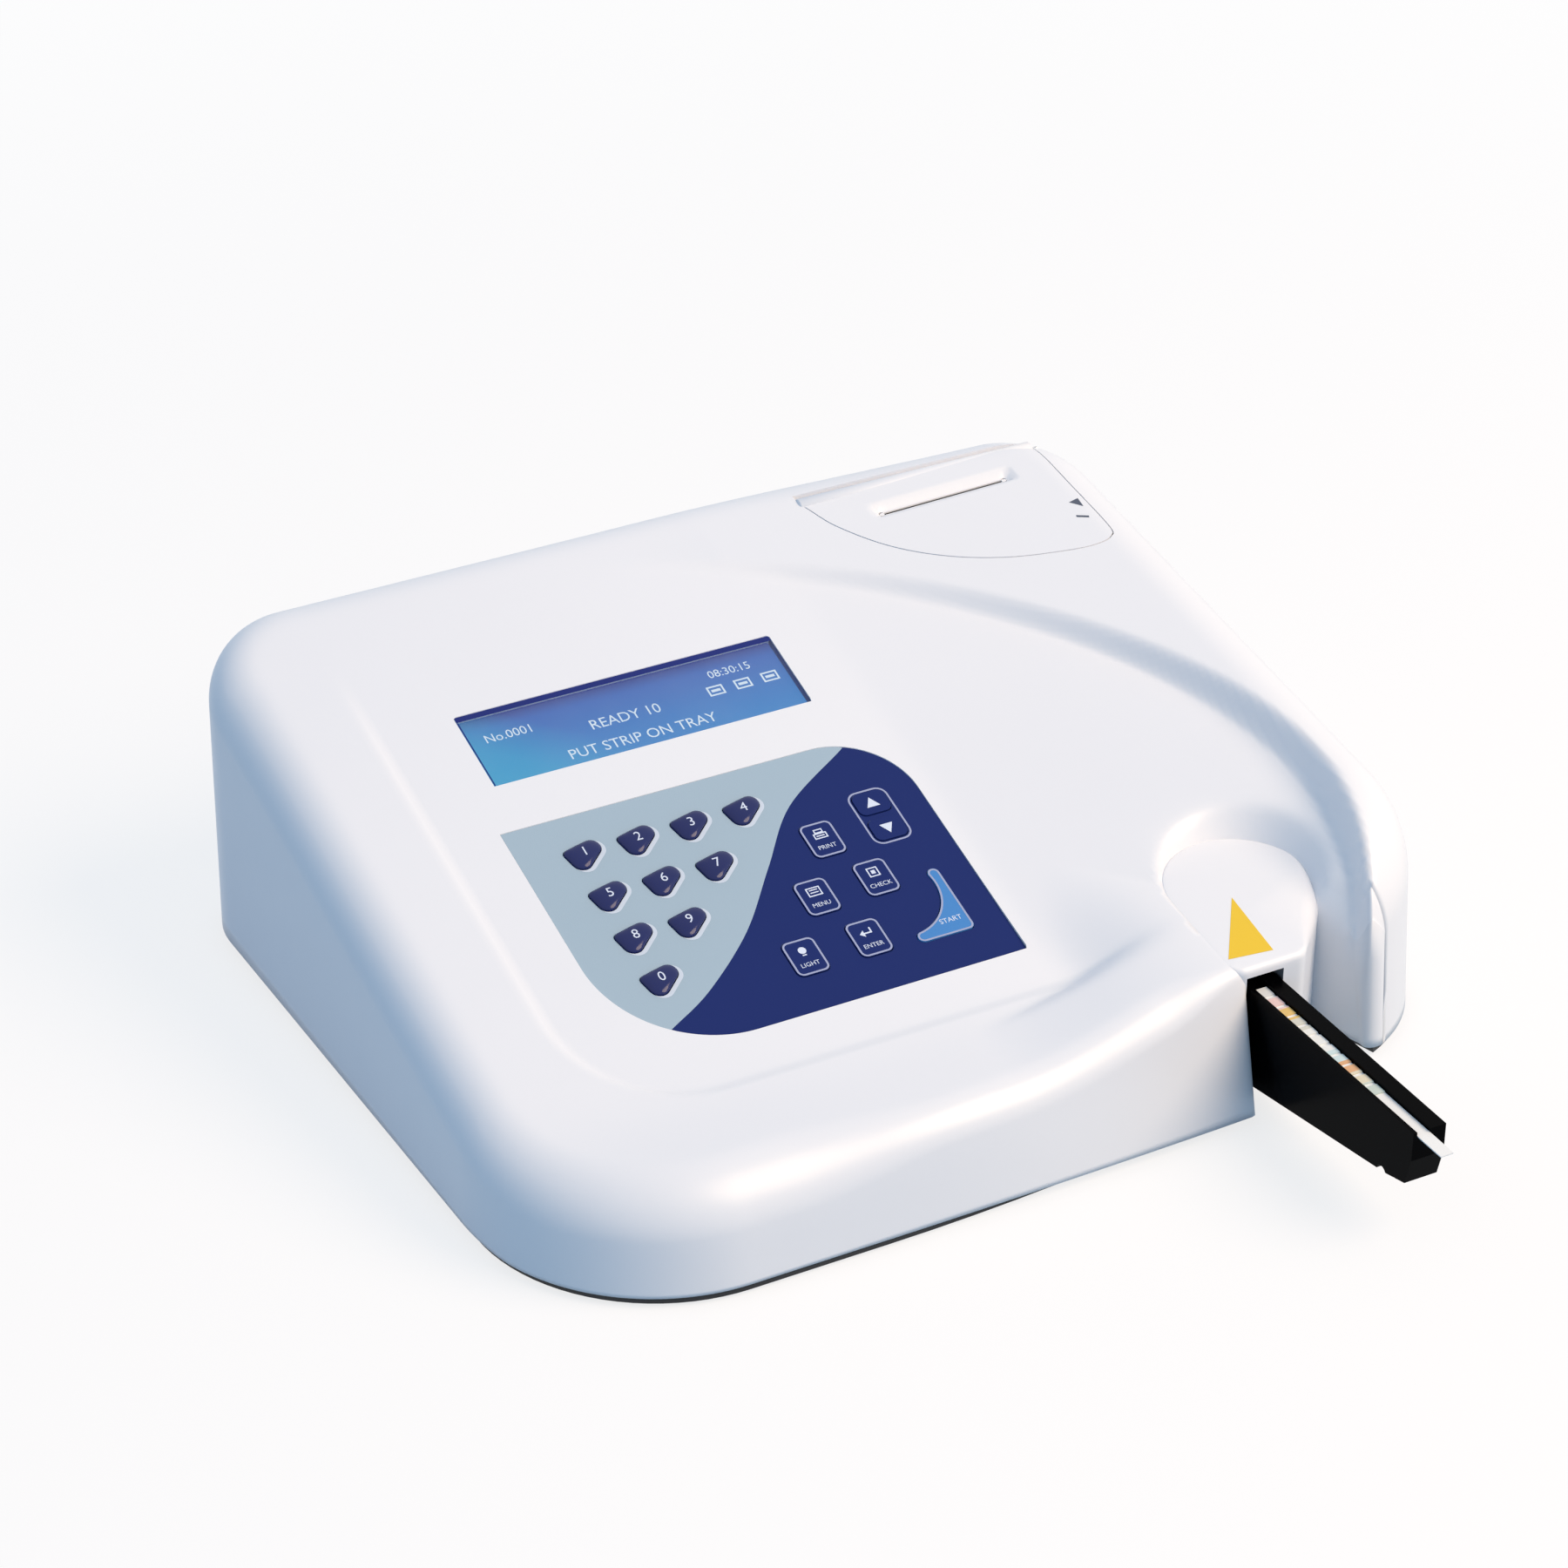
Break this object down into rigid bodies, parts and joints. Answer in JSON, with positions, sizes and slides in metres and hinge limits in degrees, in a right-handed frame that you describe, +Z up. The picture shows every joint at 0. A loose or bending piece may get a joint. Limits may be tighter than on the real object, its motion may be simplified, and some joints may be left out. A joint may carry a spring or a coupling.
{
  "type": "urine analyzer",
  "caption": "Bench-top urine analyzer with a sliding strip tray, sloping display and keypad, and a built-in printer under a hinged lid.",
  "frame": {"origin": "on the table, under the middle of the whole outline with the tray run out", "axes": "+X to the user's right, +Y from the front to the back, +Z up"},
  "size_m": [0.364, 0.397, 0.117],
  "materials": {
    "cover_white": "moulded, smooth",
    "base_grey": "moulded, fine grain",
    "foot_rubber": "moulded",
    "steel": "bright",
    "window_clear": "polished",
    "display_blue": "glossy",
    "board_green": "solder mask",
    "overlay_blue": "printed film",
    "key_navy": "smooth",
    "key_grey": "smooth",
    "key_blue": "smooth",
    "tray_black": "moulded, smooth",
    "strip_white": "film",
    "pad_cream": "absorbent",
    "gear_white": "moulded",
    "motor_metal": "plated",
    "housing_black": "moulded",
    "paper_white": "paper",
    "platen_rubber": "ground",
    "standoff_brass": "turned",
    "panel_steel": "satin"
  },
  "bodies": {
    "case": {"top_cover": "cover_white", "bottom_case": "base_grey", "rubber_feet": "foot_rubber", "case_screws": "steel", "display_window": "window_clear", "lcd_module": "display_blue", "lcd_board": "board_green", "switch_board": "board_green", "dome_switches": "steel", "keypad_overlay": "overlay_blue", "tray_guide": "base_grey", "tray_motor": "motor_metal", "motor_bracket": "steel", "read_head_housing": "housing_black", "read_head_window": "window_clear", "read_head_board": "board_green", "paper_bin": "base_grey", "paper_spindle": "gear_white", "printer_frame": "steel", "printer_motor": "motor_metal", "thermal_head": "housing_black", "board_standoffs": "standoff_brass", "main_board": "board_green", "power_supply_board": "board_green", "power_inlet": "housing_black", "switch_housing": "housing_black", "serial_port": "panel_steel", "keyboard_port": "housing_black", "rear_panel": "panel_steel"},
    "key_1": {"key_1": "key_navy"},
    "key_2": {"key_2": "key_navy"},
    "key_3": {"key_3": "key_navy"},
    "key_4": {"key_4": "key_navy"},
    "key_5": {"key_5": "key_navy"},
    "key_6": {"key_6": "key_navy"},
    "key_7": {"key_7": "key_navy"},
    "key_8": {"key_8": "key_navy"},
    "key_9": {"key_9": "key_navy"},
    "key_0": {"key_0": "key_navy"},
    "key_print": {"key_print": "key_grey"},
    "key_check": {"key_check": "key_grey"},
    "key_menu": {"key_menu": "key_grey"},
    "key_enter": {"key_enter": "key_grey"},
    "key_light": {"key_light": "key_grey"},
    "key_up": {"key_up": "key_grey"},
    "key_down": {"key_down": "key_grey"},
    "key_start": {"key_start": "key_blue"},
    "tray": {"strip_tray": "tray_black", "test_strip": "strip_white", "strip_pads": "pad_cream"},
    "pinion": {"tray_pinion": "gear_white"},
    "lid": {"printer_lid": "cover_white", "lid_hinge_pins": "steel"},
    "paper": {"paper_roll": "paper_white"},
    "platen": {"platen_roller": "platen_rubber", "platen_gear": "gear_white"},
    "print_drive": {"printer_pinion": "gear_white"},
    "rocker": {"power_switch": "housing_black"}
  },
  "joints": [
    {"name": "key_1_press", "type": "slide", "parent": "case", "child": "key_1", "axis": [0, 0.3043, -0.9526], "range_m": [0, 0.0006], "stiffness_N_per_m": 400, "springref_m": -0.0005},
    {"name": "key_2_press", "type": "slide", "parent": "case", "child": "key_2", "axis": [0, 0.3043, -0.9526], "range_m": [0, 0.0006], "stiffness_N_per_m": 400, "springref_m": -0.0005},
    {"name": "key_3_press", "type": "slide", "parent": "case", "child": "key_3", "axis": [0, 0.3043, -0.9526], "range_m": [0, 0.0006], "stiffness_N_per_m": 400, "springref_m": -0.0005},
    {"name": "key_4_press", "type": "slide", "parent": "case", "child": "key_4", "axis": [0, 0.3043, -0.9526], "range_m": [0, 0.0006], "stiffness_N_per_m": 400, "springref_m": -0.0005},
    {"name": "key_5_press", "type": "slide", "parent": "case", "child": "key_5", "axis": [0, 0.3043, -0.9526], "range_m": [0, 0.0006], "stiffness_N_per_m": 400, "springref_m": -0.0005},
    {"name": "key_6_press", "type": "slide", "parent": "case", "child": "key_6", "axis": [0, 0.3043, -0.9526], "range_m": [0, 0.0006], "stiffness_N_per_m": 400, "springref_m": -0.0005},
    {"name": "key_7_press", "type": "slide", "parent": "case", "child": "key_7", "axis": [0, 0.3043, -0.9526], "range_m": [0, 0.0006], "stiffness_N_per_m": 400, "springref_m": -0.0005},
    {"name": "key_8_press", "type": "slide", "parent": "case", "child": "key_8", "axis": [0, 0.3043, -0.9526], "range_m": [0, 0.0006], "stiffness_N_per_m": 400, "springref_m": -0.0005},
    {"name": "key_9_press", "type": "slide", "parent": "case", "child": "key_9", "axis": [0, 0.3043, -0.9526], "range_m": [0, 0.0006], "stiffness_N_per_m": 400, "springref_m": -0.0005},
    {"name": "key_0_press", "type": "slide", "parent": "case", "child": "key_0", "axis": [0, 0.3043, -0.9526], "range_m": [0, 0.0006], "stiffness_N_per_m": 400, "springref_m": -0.0005},
    {"name": "key_print_press", "type": "slide", "parent": "case", "child": "key_print", "axis": [0, 0.3043, -0.9526], "range_m": [0, 0.0006], "stiffness_N_per_m": 400, "springref_m": -0.0005},
    {"name": "key_check_press", "type": "slide", "parent": "case", "child": "key_check", "axis": [0, 0.3043, -0.9526], "range_m": [0, 0.0006], "stiffness_N_per_m": 400, "springref_m": -0.0005},
    {"name": "key_menu_press", "type": "slide", "parent": "case", "child": "key_menu", "axis": [0, 0.3043, -0.9526], "range_m": [0, 0.0006], "stiffness_N_per_m": 400, "springref_m": -0.0005},
    {"name": "key_enter_press", "type": "slide", "parent": "case", "child": "key_enter", "axis": [0, 0.3043, -0.9526], "range_m": [0, 0.0006], "stiffness_N_per_m": 400, "springref_m": -0.0005},
    {"name": "key_light_press", "type": "slide", "parent": "case", "child": "key_light", "axis": [0, 0.3043, -0.9526], "range_m": [0, 0.0006], "stiffness_N_per_m": 400, "springref_m": -0.0005},
    {"name": "key_up_press", "type": "slide", "parent": "case", "child": "key_up", "axis": [0, 0.3043, -0.9526], "range_m": [0, 0.0006], "stiffness_N_per_m": 400, "springref_m": -0.0005},
    {"name": "key_down_press", "type": "slide", "parent": "case", "child": "key_down", "axis": [0, 0.3043, -0.9526], "range_m": [0, 0.0006], "stiffness_N_per_m": 400, "springref_m": -0.0005},
    {"name": "key_start_press", "type": "slide", "parent": "case", "child": "key_start", "axis": [0, 0.3043, -0.9526], "range_m": [0, 0.0006], "stiffness_N_per_m": 400, "springref_m": -0.0005},
    {"name": "tray_slide", "type": "slide", "parent": "case", "child": "tray", "axis": [0, 1, 0], "range_m": [0, 0.097]},
    {"name": "pinion_spin", "type": "hinge", "parent": "case", "child": "pinion", "pos_m": [0.1165, -0.01471, 0.014], "axis": [0, 0, 1], "range_deg": [-372, 2]},
    {"name": "lid_hinge", "type": "hinge", "parent": "case", "child": "lid", "pos_m": [0.1095, 0.1765, 0.11355], "axis": [-1, 0, 0], "range_deg": [0, 80]},
    {"name": "roll_spin", "type": "hinge", "parent": "case", "child": "paper", "pos_m": [0.1135, 0.13, 0.082], "axis": [1, 0, 0], "continuous": true},
    {"name": "platen_spin", "type": "hinge", "parent": "case", "child": "platen", "pos_m": [0.1135, 0.162, 0.101], "axis": [1, 0, 0], "continuous": true},
    {"name": "print_drive_spin", "type": "hinge", "parent": "case", "child": "print_drive", "pos_m": [0.145, 0.162, 0.0898], "axis": [1, 0, 0], "continuous": true},
    {"name": "rocker_tilt", "type": "hinge", "parent": "case", "child": "rocker", "pos_m": [-0.077, 0.1937, 0.0285], "axis": [1, 0, 0], "range_deg": [0, 18]}
  ],
  "couplings": [
    {"joint": "pinion_spin", "follows": "tray_slide", "rad_per_m": -66.667},
    {"joint": "print_drive_spin", "follows": "platen_spin", "ratio": -1.8}
  ]
}
